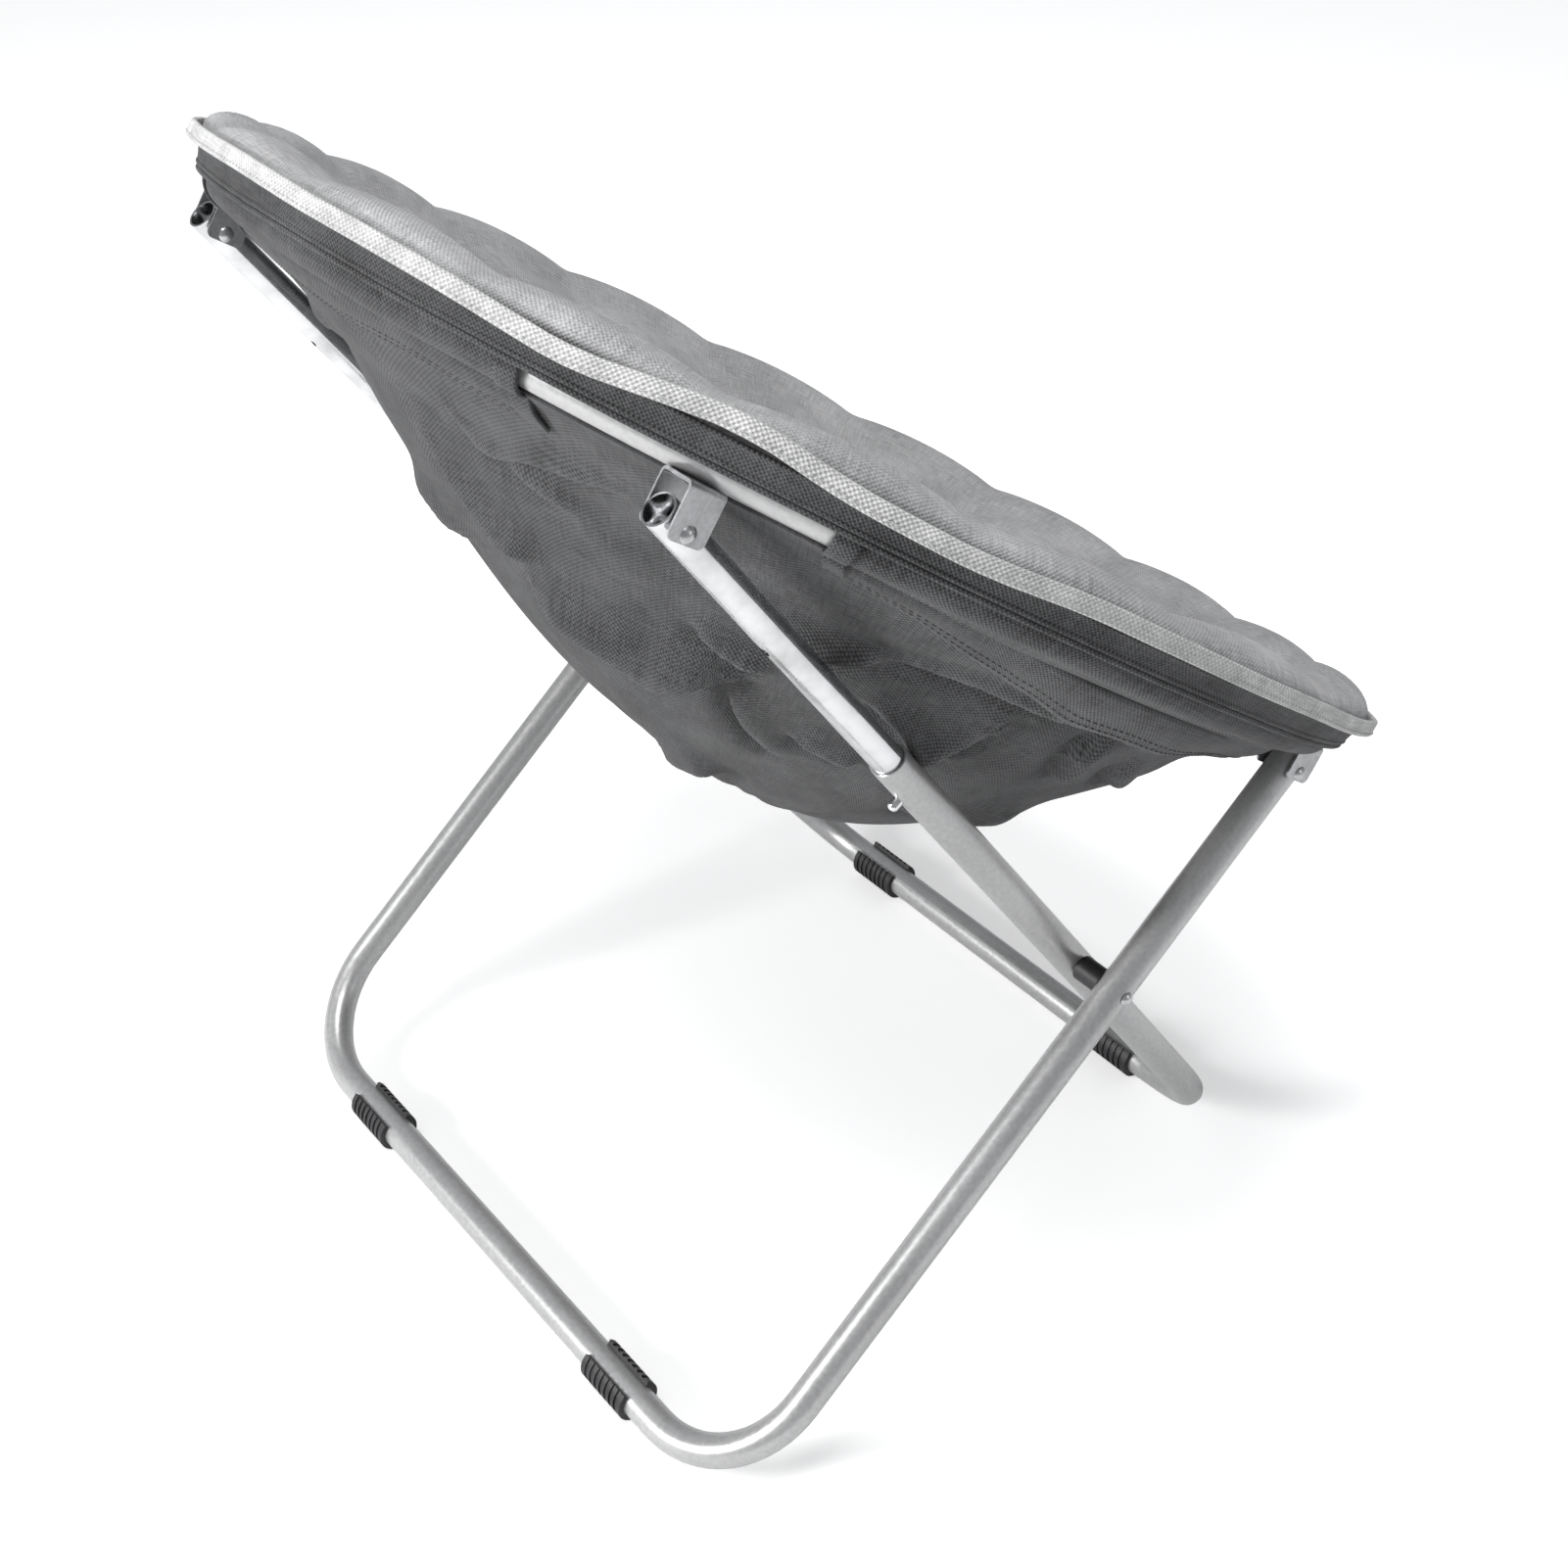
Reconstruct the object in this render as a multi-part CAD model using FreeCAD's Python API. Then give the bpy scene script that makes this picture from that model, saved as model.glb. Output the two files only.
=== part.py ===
import FreeCAD, Part
import math
import os

from FreeCAD import Placement, Rotation, Vector

# Folding saucer chair, in millimetres. The sitter faces -Y, the sitter's left is +X, and +Z is up.

# Leg frames, bent from one tube each
legTubeDiameter = 22.0
legTubeWall = 1.2
legBendRadius = 76.0
rearFrameHalfWidth = 236.0
frameSpacing = 39.0
floorBarSpread = 464.0
frontFrameEnd = 12.0

# Seat ring and how it sits over the floor
ringRadius = 358.0
ringTubeDiameter = 22.0
ringTubeWall = 1.2
ringTilt = 37.7
ringCentreHeight = 523.8
ringCentreForward = 50.7

# Struts that run in the open tops of the rear frame
strutDiameter = 19.0
strutWall = 1.2
strutEnd = 14.0
strutShowing = 225.0
strutInside = 60.0

# Brackets welded under the ring
bracketWall = 1.2
bracketLength = 24.0
bracketMargin = 5.0
bracketBend = 3.0
bracketCorner = 4.0
bracketWeld = 0.6
bracketOutset = 3.5
frontRivetDrop = 30.3
rearRivetDrop = 34.0
frontBracketGap = 0.3
rearBracketGap = 0.7

# Rivets and the spacers between the two frames
rivetDiameter = 5.0
rivetHeadDiameter = 9.6
rivetHeadHeight = 2.6
turningClearance = 0.05
spacerDiameter = 16.5
spacerWrap = 2.5
openPivotClearance = 0.3

# Spring buttons near the tops of the rear frame
buttonDiameter = 6.4
buttonReach = 7.0
buttonDome = 2.4
buttonTravel = 5.5
buttonBelowMouth = 30.0
buttonClearance = 0.05
strutHoleClearance = 0.5
springWire = 1.4
springLeg = 26.0
springClearance = 0.6

# Foot clips
clipWall = 4.0
clipLength = 44.0
clipRibs = 8
clipGroove = 2.6
clipGrooveDepth = 1.1
clipMouthAngle = 76.0
clipFlat = 0.5
rearClipBack = 22.0
frontClipBack = 1.0

# Fabric sleeve on the ring, open around the rear brackets
sleeveGap = 0.3
sleeveCloth = 1.7
windowStart = 26.0
windowEnd = 51.5
slitMargin = 1.5

# Fabric bowl
bowlPlace = 6.0
bowlTop = 10.0
bowlDepth = 200.0
bowlLowPoint = 114.0
bowlCloth = 1.8
bowlFolds = 12
foldRise = 0.018
creaseDepth = 5.0
creaseLevel = 0.80
bowlLevels = [0.972, 0.93, 0.86, creaseLevel, 0.75, 0.66, 0.54, 0.40, 0.25, 0.10]

# Padded cushion with sewn channels
padThickness = 25.0
padGap = 2.6
padNeckGap = 4.0
padChannels = 18
channelRise = 0.024
crownRise = 0.010
channelCord = 7.0
channelSink = 3.5
crownHeight = 38.0
crownPlace = 3.0
crownEasing = 3.5
crownEdgeRise = 9.0
crownEdgeInset = 2.0
hollowLip = 9.0
hollowLipDrop = 3.0
hollowThroat = 30.0
hollowThroatDrop = 14.0
channelReach = 45.0

# Woven binding around the cushion's edge, and the band with its piping below it
bindingPlace = 30.0
bindingThickness = 3.0
bindingTall = 9.5
bindingHeight = 18.0
bandInset = 10.0
bandCloth = 1.5
bandBottom = 3.0
pipingDiameter = 3.6

frontFrameHalfWidth = rearFrameHalfWidth + frameSpacing
rearClipPlace = frontFrameHalfWidth - legBendRadius - clipLength / 2 - rearClipBack
frontClipPlace = rearFrameHalfWidth - legBendRadius - clipLength / 2 - frontClipBack
legTubeRadius = legTubeDiameter / 2
legBoreRadius = legTubeRadius - legTubeWall
ringTubeRadius = ringTubeDiameter / 2
strutRadius = strutDiameter / 2
strutBoreRadius = strutRadius - strutWall
rivetRadius = rivetDiameter / 2
sleeveRadius = ringTubeRadius + sleeveGap + sleeveCloth
bowlRadius = ringRadius + bowlPlace
crownRadius = ringRadius + crownPlace
bindingRadius = ringRadius + bindingPlace
bandRadius = bindingRadius - bandInset
floorBarHeight = legTubeRadius + clipWall - clipFlat
xAxis = Vector(1, 0, 0)
yAxis = Vector(0, 1, 0)
zAxis = Vector(0, 0, 1)

# The ring's plane: across is the chair's width, along runs up the slope to the back, above is square to it
ringPlane = Placement(Vector(0, -ringCentreForward, ringCentreHeight), Rotation(xAxis, ringTilt))


def onRing(halfWidth):
    return math.sqrt(ringRadius ** 2 - halfWidth ** 2)


def leaning(start, end):
    # A drawing plane that stands on start, with its Y running to end
    run = end - start
    return Placement(start, Rotation(xAxis, math.degrees(math.atan2(run.z, run.y))))


def crossingOf(a, b, c, d):
    # Where the line from a to b meets the line from c to d, seen from the side
    first = b - a
    second = d - c
    gap = c - a
    share = (gap.y * second.z - gap.z * second.y) / (first.y * second.z - first.z * second.y)
    return a + first * share


frontBracketAlong = -onRing(frontFrameHalfWidth) - bracketOutset
rearBracketAlong = onRing(rearFrameHalfWidth) + bracketOutset
frontPivot = ringPlane.multVec(Vector(0, frontBracketAlong, -frontRivetDrop))
rearPivot = ringPlane.multVec(Vector(0, rearBracketAlong, -rearRivetDrop))
rearBar = Vector(0, floorBarSpread / 2, floorBarHeight)
frontBar = Vector(0, -floorBarSpread / 2, floorBarHeight)
crossing = crossingOf(rearBar, frontPivot, frontBar, rearPivot)

# The front frame stands on the rear floor bar, the rear frame on the front one: they cross like scissors
frontFramePlane = leaning(rearBar, frontPivot)
rearFramePlane = leaning(frontBar, rearPivot)
frontFrameToPivot = (frontPivot - rearBar).Length
frontFrameToCrossing = (crossing - rearBar).Length
rearFrameToPivot = (rearPivot - frontBar).Length
mouthPlace = rearFrameToPivot - strutShowing
buttonPlace = mouthPlace - buttonBelowMouth

# The fold: the triangle of front pivot, crossing and rear pivot closes to a line
ringSide = (rearPivot - frontPivot).Length
frontSide = (crossing - frontPivot).Length
rearSide = (rearPivot - crossing).Length
foldAngle = math.acos((frontSide ** 2 + ringSide ** 2 - rearSide ** 2) / (2 * frontSide * ringSide))
strutAngle = math.acos((rearSide ** 2 + ringSide ** 2 - frontSide ** 2) / (2 * rearSide * ringSide))
slideTravel = rearSide - (ringSide - frontSide)


def boxAround(centre, width, depth, height):
    corner = centre - Vector(width / 2, depth / 2, height / 2)
    return Part.makeBox(width, depth, height, corner)


def fused(shapes):
    return shapes[0].multiFuse(shapes[1:]).removeSplitter() if len(shapes) > 1 else shapes[0]


def pipe(path, radius, start, direction):
    ring = Part.Wire(Part.makeCircle(radius, start, direction))
    return path.makePipeShell([ring], True, False)


def seatRing():
    solid = Part.makeTorus(ringRadius, ringTubeRadius)
    return solid.cut(Part.makeTorus(ringRadius, ringTubeRadius - ringTubeWall))


def channelBox(width, length, top, bottom, bend):
    # A block whose two long top edges are rounded, as bent sheet is
    block = Part.makeBox(width, length, top - bottom, Vector(-width / 2, -length / 2, bottom))
    edges = [e for e in block.Edges if e.BoundBox.ZMin > top - 0.01 and e.BoundBox.YLength > length - 0.01]
    return block.makeFillet(bend, edges)


def bracket(side, halfWidth, along, rivetDrop, tubeDiameter, gap):
    inside = tubeDiameter + 2 * gap
    outside = inside + 2 * bracketWall
    top = bracketWeld - ringTubeRadius
    bottom = -rivetDrop - bracketMargin
    block = channelBox(outside, bracketLength, top, bottom, bracketBend)
    corners = [e for e in block.Edges if e.BoundBox.ZMax < bottom + 0.01 and e.BoundBox.XLength > inside]
    block = block.makeFillet(bracketCorner, corners)
    web = bracketWall + bracketWeld
    hollow = channelBox(inside, 2 * bracketLength, top - web, bottom - 1, bracketBend - bracketWall)
    hole = Part.makeCylinder(rivetRadius, 2 * outside, Vector(-outside, 0, -rivetDrop), xAxis)
    shape = block.cut(hollow).cut(hole)
    shape.translate(Vector(side * halfWidth, along, 0))
    return shape.cut(Part.makeTorus(ringRadius, ringTubeRadius))


def domeHead(base, direction, diameter, height):
    # A shallow cap of a sphere that stands on base
    radius = (diameter ** 2 / 4 + height ** 2) / (2 * height)
    ball = Part.makeSphere(radius, base + direction * (height - radius))
    return ball.common(Part.makeCylinder(diameter, 2 * height, base, direction))


def rivet(start, end, headAtStart):
    # Shank from start to end, with a dome head beyond the end and one before the start
    run = end - start
    direction = run / run.Length
    pieces = [Part.makeCylinder(rivetRadius, run.Length, start, direction)]
    pieces.append(domeHead(end, direction, rivetHeadDiameter, rivetHeadHeight))
    if headAtStart:
        pieces.append(domeHead(start, direction * -1, rivetHeadDiameter, rivetHeadHeight))
    return fused(pieces)


def bracketRivet(side, halfWidth, along, rivetDrop, tubeDiameter, gap):
    reach = tubeDiameter / 2 + gap + bracketWall
    inner = Vector(side * (halfWidth - reach), along, -rivetDrop)
    outer = Vector(side * (halfWidth + reach), along, -rivetDrop)
    return rivet(inner, outer, True)


def framePath(halfWidth, height):
    # Down one upright, along the floor and up the other, with a quarter turn at each corner
    bend = legBendRadius
    inset = halfWidth - bend
    drop = bend * (1 - math.sqrt(0.5))
    edges = [Part.LineSegment(Vector(-halfWidth, height, 0), Vector(-halfWidth, bend, 0))]
    edges.append(Part.Arc(Vector(-halfWidth, bend, 0), Vector(drop - halfWidth, drop, 0), Vector(-inset, 0, 0)))
    edges.append(Part.LineSegment(Vector(-inset, 0, 0), Vector(inset, 0, 0)))
    edges.append(Part.Arc(Vector(inset, 0, 0), Vector(halfWidth - drop, drop, 0), Vector(halfWidth, bend, 0)))
    edges.append(Part.LineSegment(Vector(halfWidth, bend, 0), Vector(halfWidth, height, 0)))
    return Part.Wire([edge.toShape() for edge in edges])


def frameTube(halfWidth, height):
    path = framePath(halfWidth, height)
    start = Vector(-halfWidth, height, 0)
    outer = pipe(path, legTubeRadius, start, yAxis)
    return outer.cut(pipe(path, legBoreRadius, start, yAxis))


def crossHole(halfWidth, height, radius):
    reach = halfWidth + legTubeDiameter
    return Part.makeCylinder(radius, 2 * reach, Vector(-reach, height, 0), xAxis)


def frontLegFrame():
    tube = frameTube(frontFrameHalfWidth, frontFrameToPivot + frontFrameEnd)
    tube = tube.cut(crossHole(frontFrameHalfWidth, frontFrameToPivot, rivetRadius + turningClearance))
    return tube.cut(crossHole(frontFrameHalfWidth, frontFrameToCrossing, rivetRadius))


def buttonHole(side, place, radius):
    # Bored from the tube's centre out through its underside only
    return Part.makeCylinder(radius, legTubeDiameter, Vector(side * rearFrameHalfWidth, place, 0), zAxis * -1)


def rearLegFrame():
    tube = frameTube(rearFrameHalfWidth, mouthPlace)
    for side in (-1, 1):
        tube = tube.cut(buttonHole(side, buttonPlace, buttonDiameter / 2 + buttonClearance))
    return tube


def strut(side):
    start = Vector(side * rearFrameHalfWidth, mouthPlace - strutInside, 0)
    length = strutInside + strutShowing + strutEnd
    tube = Part.makeCylinder(strutRadius, length, start, yAxis)
    tube = tube.cut(Part.makeCylinder(strutBoreRadius, length, start, yAxis))
    tube = tube.cut(crossHole(rearFrameHalfWidth, rearFrameToPivot, rivetRadius + turningClearance))
    holeRadius = buttonDiameter / 2 + strutHoleClearance
    for place in (buttonPlace, buttonPlace + slideTravel):
        tube = tube.cut(buttonHole(side, place, holeRadius))
    return tube


def snapButton(side):
    foot = (strutRadius + legBoreRadius) / 2
    shoulder = legTubeRadius + buttonReach - buttonDome
    down = zAxis * -1
    base = Vector(side * rearFrameHalfWidth, buttonPlace, -foot)
    stem = Part.makeCylinder(buttonDiameter / 2, shoulder - foot, base, down)
    dome = domeHead(base + down * (shoulder - foot), down, buttonDiameter, buttonDome)
    return fused([stem, dome])


def buttonSpring(side):
    # A hairpin in the strut's bore: one leg lies on the far wall, the other behind the button
    upper = strutBoreRadius - springWire / 2
    lower = -(strutRadius - buttonTravel - springClearance - springWire / 2)
    bend = (upper - lower) / 2
    x = side * rearFrameHalfWidth
    legStart = buttonPlace + springLeg / 2
    legEnd = buttonPlace - springLeg / 2
    top = Vector(x, legStart, upper)
    edges = [Part.LineSegment(top, Vector(x, legEnd, upper))]
    middle = Vector(x, legEnd - bend, upper - bend)
    edges.append(Part.Arc(Vector(x, legEnd, upper), middle, Vector(x, legEnd, lower)))
    edges.append(Part.LineSegment(Vector(x, legEnd, lower), Vector(x, legStart, lower)))
    path = Part.Wire([edge.toShape() for edge in edges])
    return pipe(path, springWire / 2, top, yAxis)


def crossingRivet(side):
    outer = Vector(side * (frontFrameHalfWidth + legTubeRadius), frontFrameToCrossing, 0)
    inner = Vector(side * spacerInner(), frontFrameToCrossing, 0)
    return rivet(inner, outer, False)


def spacerInner():
    return rearFrameHalfWidth + legTubeRadius + openPivotClearance


def crossingSpacer(side):
    # Hugs the front frame's tube at its outer end and stops just short of the rear frame's
    outer = frontFrameHalfWidth - legTubeRadius + spacerWrap
    start = Vector(side * spacerInner(), frontFrameToCrossing, 0)
    length = outer - spacerInner()
    bush = Part.makeCylinder(spacerDiameter / 2, length, start, xAxis * side)
    upright = Vector(side * frontFrameHalfWidth, frontFrameToCrossing - spacerDiameter, 0)
    bush = bush.cut(Part.makeCylinder(legTubeRadius, 2 * spacerDiameter, upright, yAxis))
    return bush.cut(Part.makeCylinder(rivetRadius, length, start, xAxis * side))


def footClip(side, place, bar):
    # A ribbed C that grips the bar from below, with its mouth up and a flat to stand on
    radius = legTubeRadius + clipWall
    middle = Vector(side * place, bar.y, bar.z)
    start = middle - xAxis * (clipLength / 2)
    body = Part.makeCylinder(radius, clipLength, start, xAxis)
    body = body.cut(Part.makeCylinder(legTubeRadius, clipLength, start, xAxis))
    spread = 2 * radius * math.tan(math.radians(clipMouthAngle / 2))
    corners = [start, start + Vector(0, spread / 2, 2 * radius / 2), start + Vector(0, -spread / 2, 2 * radius / 2)]
    wedge = Part.Face(Part.makePolygon(corners + [start])).extrude(xAxis * clipLength)
    tall = boxAround(middle + zAxis * (1.5 * radius), clipLength, spread, radius)
    body = body.cut(wedge).cut(tall)
    pitch = clipLength / clipRibs
    for index in range(1, clipRibs):
        spot = start + xAxis * (index * pitch - clipGroove / 2)
        groove = Part.makeCylinder(radius + 1, clipGroove, spot, xAxis)
        groove = groove.cut(Part.makeCylinder(radius - clipGrooveDepth, clipGroove, spot, xAxis))
        body = body.cut(groove)
    below = boxAround(Vector(middle.x, bar.y, -radius / 2), 2 * clipLength, 3 * radius, radius)
    return body.cut(below)


def ringSpot(radius, angle, centre, height):
    # A place in the ring's plane: the angle runs from the back towards the sitter's left
    turn = math.radians(angle)
    return Vector(radius * math.sin(turn), centre + radius * math.cos(turn), height)


def lobedLoop(radius, centre, height, lobes, rise):
    # A closed line of equal arcs that meet at the seams, out between them or in where rise is negative
    step = 360.0 / lobes
    seam = radius * (1 - rise / 2)
    middle = radius * (1 + rise / 2)
    edges = []
    for index in range(lobes):
        a = ringSpot(seam, index * step, centre, height)
        b = ringSpot(middle, (index + 0.5) * step, centre, height)
        c = ringSpot(seam, (index + 1) * step, centre, height)
        edges.append(Part.Arc(a, b, c).toShape())
    return Part.Wire(edges)


def smoothLoft(loops):
    return Part.makeLoft(loops, True, False, False, 3)


def bowlLoop(level, inset, lobes, rise, crease):
    # One level of the bowl, from 1 at the ring to 0 at its lowest point, drawn in and up by inset
    radius = level * (bowlRadius - inset)
    if level == creaseLevel:
        radius = radius - crease
    centre = -bowlLowPoint * (1 - level)
    height = inset - bowlTop - bowlDepth * (1 - level ** 2) ** 1.5
    return lobedLoop(radius, centre, height, lobes, rise)


def slit(side, halfWidth, along, rivetDrop, tubeDiameter, gap):
    # The room that a bracket needs in the cloth around it
    width = tubeDiameter + 2 * (gap + bracketWall + slitMargin)
    length = bracketLength + 2 * slitMargin
    height = rivetDrop + bracketMargin + slitMargin
    return boxAround(Vector(side * halfWidth, along, -height / 2 - 2), width, length, height)


def slits():
    found = []
    for side in (-1, 1):
        found.append(slit(side, *frontBracketValues))
        found.append(slit(side, *rearBracketValues))
    return found


def sleeve(start, end):
    # Cloth around the ring's tube, from one angle round to another
    sweep = end - start
    tube = Part.makeTorus(ringRadius, sleeveRadius, Vector(), zAxis, 0, 360, sweep)
    tube.rotate(Vector(), zAxis, 90 - end)
    shape = tube.cut(Part.makeTorus(ringRadius, ringTubeRadius + sleeveGap))
    for opening in slits():
        shape = shape.cut(opening)
    return shape


def seatShell():
    outer = smoothLoft([bowlLoop(level, 0, bowlFolds, foldRise, creaseDepth) for level in bowlLevels])
    inner = smoothLoft([bowlLoop(level, bowlCloth, bowlFolds, foldRise, creaseDepth) for level in bowlLevels])
    return outer.cut(inner)


def crownBody():
    # The padded roll that lies over the ring and the sleeve
    under = sleeveRadius + sleeveGap
    edge = bindingRadius - bindingThickness / 2
    levels = [(bandRadius, under), (edge, bindingHeight)]
    levels.append((edge - crownEdgeInset, bindingHeight + crownEdgeRise))
    levels.append(((edge + crownRadius) / 2, crownHeight - crownEasing))
    levels.append((crownRadius, crownHeight))
    loops = [lobedLoop(radius, 0, height, padChannels, crownRise) for radius, height in levels]
    return smoothLoft(loops)


def padBody():
    inset = bowlCloth + padGap
    loops = [bowlLoop(level, inset, bowlFolds, foldRise, creaseDepth) for level in reversed(bowlLevels[1:])]
    neck = ringRadius - sleeveRadius - padNeckGap
    for height in (0, sleeveRadius + 2 * sleeveGap):
        loops.append(lobedLoop(neck, 0, height, bowlFolds, crownRise))
    return smoothLoft(loops)


def padHollow():
    inset = bowlCloth + padGap + padThickness
    loops = [bowlLoop(level, inset, padChannels, -channelRise, 0) for level in reversed(bowlLevels[1:])]
    levels = [(hollowThroat, hollowThroatDrop), ((hollowThroat + hollowLip) / 2, hollowLipDrop), (hollowLip, -1)]
    for back, drop in levels:
        loops.append(lobedLoop(crownRadius - back, 0, crownHeight - drop, padChannels, -channelRise))
    return smoothLoft(loops)


def channelGrooves():
    grooves = []
    for index in range(padChannels):
        angle = index * 360.0 / padChannels
        height = crownHeight + channelCord - channelSink
        start = ringSpot(crownRadius - channelReach, angle, 0, height)
        run = ringSpot(1, angle, 0, 0)
        grooves.append(Part.makeCylinder(channelCord, bindingRadius - crownRadius + 2 * channelReach, start, run))
    return grooves


def cushion():
    shape = crownBody().fuse(padBody()).cut(padHollow())
    shape = shape.cut(Part.makeCompound(channelGrooves()))
    return shape.cut(edgeBinding())


def hoop(radius, thickness, bottom, top, rounding):
    # A flat strip of cloth that runs round the seat
    outer = Part.makeCylinder(radius + thickness / 2, top - bottom, Vector(0, 0, bottom))
    strip = outer.cut(Part.makeCylinder(radius - thickness / 2, top - bottom, Vector(0, 0, bottom)))
    if rounding > 0:
        strip = strip.makeFillet(rounding, [e for e in strip.Edges if e.Closed])
    return strip


def edgeBinding():
    bottom = bindingHeight - bindingTall / 2
    return hoop(bindingRadius, bindingThickness, bottom, bottom + bindingTall, bindingThickness * 0.4)


def cushionBand():
    return hoop(bandRadius, bandCloth, bandBottom, sleeveRadius + sleeveGap, 0)


def bandPiping():
    return Part.makeTorus(bandRadius, pipingDiameter / 2, Vector(0, 0, bandBottom - pipingDiameter / 2))


frontBracketValues = (frontFrameHalfWidth, frontBracketAlong, frontRivetDrop, legTubeDiameter, frontBracketGap)
rearBracketValues = (rearFrameHalfWidth, rearBracketAlong, rearRivetDrop, strutDiameter, rearBracketGap)
sides = {"right": -1, "left": 1}

nodes = {}


def addPlaced(name, shape, placement):
    shape.Placement = placement.multiply(shape.Placement)
    nodes[name] = shape


addPlaced("seat_ring", seatRing(), ringPlane)
addPlaced("front_leg_frame", frontLegFrame(), frontFramePlane)
addPlaced("rear_leg_frame", rearLegFrame(), rearFramePlane)
for word, side in sides.items():
    addPlaced("front_bracket_" + word, bracket(side, *frontBracketValues), ringPlane)
    addPlaced("rear_bracket_" + word, bracket(side, *rearBracketValues), ringPlane)
    addPlaced("front_rivet_" + word, bracketRivet(side, *frontBracketValues), ringPlane)
    addPlaced("rear_rivet_" + word, bracketRivet(side, *rearBracketValues), ringPlane)
    addPlaced("strut_" + word, strut(side), rearFramePlane)
    addPlaced("button_spring_" + word, buttonSpring(side), rearFramePlane)
    addPlaced("snap_button_" + word, snapButton(side), rearFramePlane)
    addPlaced("crossing_rivet_" + word, crossingRivet(side), frontFramePlane)
    addPlaced("crossing_spacer_" + word, crossingSpacer(side), frontFramePlane)
    nodes["rear_foot_clip_" + word] = footClip(side, rearClipPlace, rearBar)
    nodes["front_foot_clip_" + word] = footClip(side, frontClipPlace, frontBar)
addPlaced("sleeve_rear", sleeve(-windowStart, windowStart), ringPlane)
addPlaced("sleeve_front", sleeve(windowEnd, 360 - windowEnd), ringPlane)
addPlaced("seat_shell", seatShell(), ringPlane)
addPlaced("cushion", cushion(), ringPlane)
addPlaced("edge_binding", edgeBinding(), ringPlane)
addPlaced("cushion_band", cushionBand(), ringPlane)
addPlaced("band_piping", bandPiping(), ringPlane)

# The origin is on the floor, under the middle of the whole chair
boxes = [shape.optimalBoundingBox(False, False) for shape in nodes.values()]
middleY = (min(box.YMin for box in boxes) + max(box.YMax for box in boxes)) / 2
shift = Vector(0, -middleY, 0)

os.makedirs("parts", exist_ok=True)
for name, shape in nodes.items():
    shape.translate(shift)
    shape.exportStep("parts/" + name + ".step")
    print(name, len(shape.Solids), shape.isValid(), round(shape.Volume / 1000, 2))

low = min(box.ZMin for box in boxes)
high = max(box.ZMax for box in boxes)
deep = max(box.YMax for box in boxes) - min(box.YMin for box in boxes)
wide = max(box.XMax for box in boxes) - min(box.XMin for box in boxes)
print("width", round(wide, 2), "depth", round(deep, 2), "floor", round(low, 3), "height", round(high, 2))
places = {"front pivot": frontPivot, "rear pivot": rearPivot, "crossing": crossing}
places["rear bar"] = rearBar
places["front bar"] = frontBar
for label, spot in places.items():
    spot = spot + shift
    print(label, round(spot.y, 3), round(spot.z, 3))
for word, side in sides.items():
    spot = rearFramePlane.multVec(Vector(side * rearFrameHalfWidth, buttonPlace, -legTubeRadius)) + shift
    print("button", word, round(spot.x, 3), round(spot.y, 3), round(spot.z, 3))
slideAxis = rearFramePlane.Rotation.multVec(yAxis)
pressAxis = rearFramePlane.Rotation.multVec(zAxis)
print("slide axis", round(slideAxis.y, 5), round(slideAxis.z, 5))
print("press axis", round(pressAxis.y, 5), round(pressAxis.z, 5))
print("fold", round(math.degrees(foldAngle), 3), "strut", round(math.degrees(strutAngle), 3))
print("slide", round(slideTravel, 3))
print("ratios", round(strutAngle / foldAngle, 5), round(slideTravel / foldAngle / 1000, 6))
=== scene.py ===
import math

import bmesh
import bpy
import numpy as np
from mathutils import Matrix, Vector


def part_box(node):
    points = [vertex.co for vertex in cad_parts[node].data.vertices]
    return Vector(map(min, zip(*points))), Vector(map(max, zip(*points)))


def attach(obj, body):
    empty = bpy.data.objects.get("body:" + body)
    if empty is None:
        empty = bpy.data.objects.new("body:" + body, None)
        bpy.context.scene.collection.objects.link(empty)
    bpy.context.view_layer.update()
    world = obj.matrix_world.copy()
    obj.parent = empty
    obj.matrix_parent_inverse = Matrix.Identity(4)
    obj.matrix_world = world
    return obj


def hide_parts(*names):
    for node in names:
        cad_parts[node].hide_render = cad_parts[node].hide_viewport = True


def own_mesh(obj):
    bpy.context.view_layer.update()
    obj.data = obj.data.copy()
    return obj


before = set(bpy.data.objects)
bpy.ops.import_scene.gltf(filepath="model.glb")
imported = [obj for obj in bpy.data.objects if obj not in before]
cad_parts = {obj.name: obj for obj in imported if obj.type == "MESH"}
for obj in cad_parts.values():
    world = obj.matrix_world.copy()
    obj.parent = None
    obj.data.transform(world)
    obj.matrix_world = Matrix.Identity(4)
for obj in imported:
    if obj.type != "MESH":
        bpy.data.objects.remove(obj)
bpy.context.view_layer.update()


# camera, fitted to the tubes' edges in the photograph
cameraSettings = {
    "place": (-0.9697, 0.7192, 1.1614),
    "azimuth": 234.4,
    "elevation": 36.6,
    "roll": -3.2,
    "lens": 50.28,
    "sensor": 36,
    "farthest": 50,
}


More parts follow.
